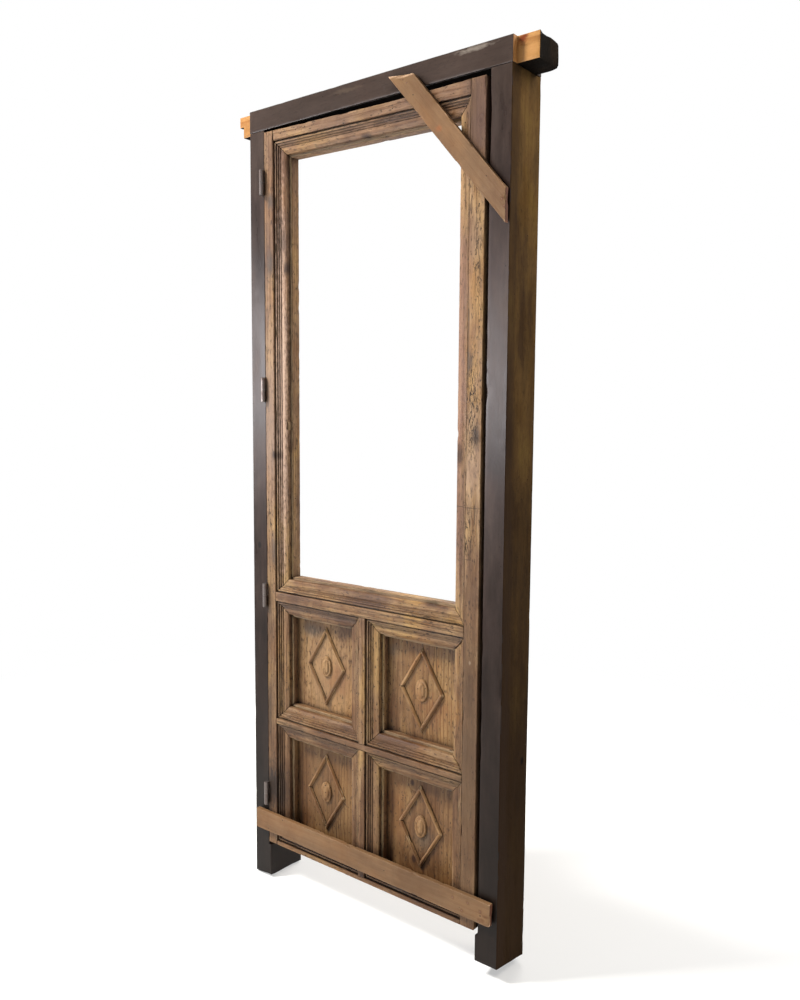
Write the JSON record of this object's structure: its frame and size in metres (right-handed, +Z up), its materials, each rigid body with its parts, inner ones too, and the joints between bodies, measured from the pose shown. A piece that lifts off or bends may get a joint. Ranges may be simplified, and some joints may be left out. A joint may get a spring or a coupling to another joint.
{
  "type": "panelled door in a post-and-beam frame",
  "caption": "Panelled wooden door leaf with a tall glazing opening above lozenge panels, hung on barrel hinges in a post-and-beam frame.",
  "frame": {"origin": "centre of the underside of the hinge post's foot, at floor level", "axes": "+X along the front from the hinge post to the latch post, +Y from the front to the back, +Z up"},
  "size_m": [1.066, 0.156, 2.418],
  "materials": {
    "frame_wood": "dark stained, worn and faintly waxed",
    "leaf_wood": "old stripped pine, dry and stained",
    "moulding_wood": "old stripped pine, rubbed on the arrises",
    "panel_wood": "old stripped pine, mottled",
    "ornament_wood": "old stripped pine with dirt in the quirks",
    "batten_wood": "plain sawn softwood",
    "hinge_iron": "dark iron, browned with rust"
  },
  "bodies": {
    "frame": {"hinge_post": "frame_wood", "latch_post": "frame_wood", "head_beam": "frame_wood", "hinge_1_post_half": "hinge_iron", "hinge_2_post_half": "hinge_iron", "hinge_3_post_half": "hinge_iron", "hinge_4_post_half": "hinge_iron"},
    "door": {"hinge_1_leaf_half": "hinge_iron", "hinge_2_leaf_half": "hinge_iron", "hinge_3_leaf_half": "hinge_iron", "hinge_4_leaf_half": "hinge_iron", "hinge_stile": "leaf_wood", "latch_stile": "leaf_wood", "top_rail": "leaf_wood", "lock_rail": "leaf_wood", "mid_rail": "leaf_wood", "bottom_rail": "leaf_wood", "upper_muntin": "leaf_wood", "lower_muntin": "leaf_wood", "opening_moulding_top": "moulding_wood", "opening_moulding_bottom": "moulding_wood", "opening_moulding_left": "moulding_wood", "opening_moulding_right": "moulding_wood", "panel_moulding_upper_left": "moulding_wood", "panel_moulding_upper_right": "moulding_wood", "panel_moulding_lower_left": "moulding_wood", "panel_moulding_lower_right": "moulding_wood", "panel_upper_left": "panel_wood", "panel_upper_right": "panel_wood", "panel_lower_left": "panel_wood", "panel_lower_right": "panel_wood", "lozenge_upper_left": "ornament_wood", "lozenge_upper_right": "ornament_wood", "lozenge_lower_left": "ornament_wood", "lozenge_lower_right": "ornament_wood", "boss_upper_left": "ornament_wood", "boss_upper_right": "ornament_wood", "boss_lower_left": "ornament_wood", "boss_lower_right": "ornament_wood", "corner_brace": "batten_wood"},
    "lower_batten": {"lower_batten": "batten_wood"}
  },
  "joints": [
    {"name": "door_swing", "type": "hinge", "parent": "frame", "child": "door", "pos_m": [0.0295, -0.081, 0], "axis": [0, 0, -1], "range_deg": [0, 110]},
    {"name": "lower_batten_swing", "type": "hinge", "parent": "frame", "child": "lower_batten", "pos_m": [-0.011, -0.087, 0], "axis": [0, 0, -1], "range_deg": [0, 110]}
  ],
  "couplings": [
    {"joint": "lower_batten_swing", "follows": "door_swing", "ratio": 1}
  ]
}
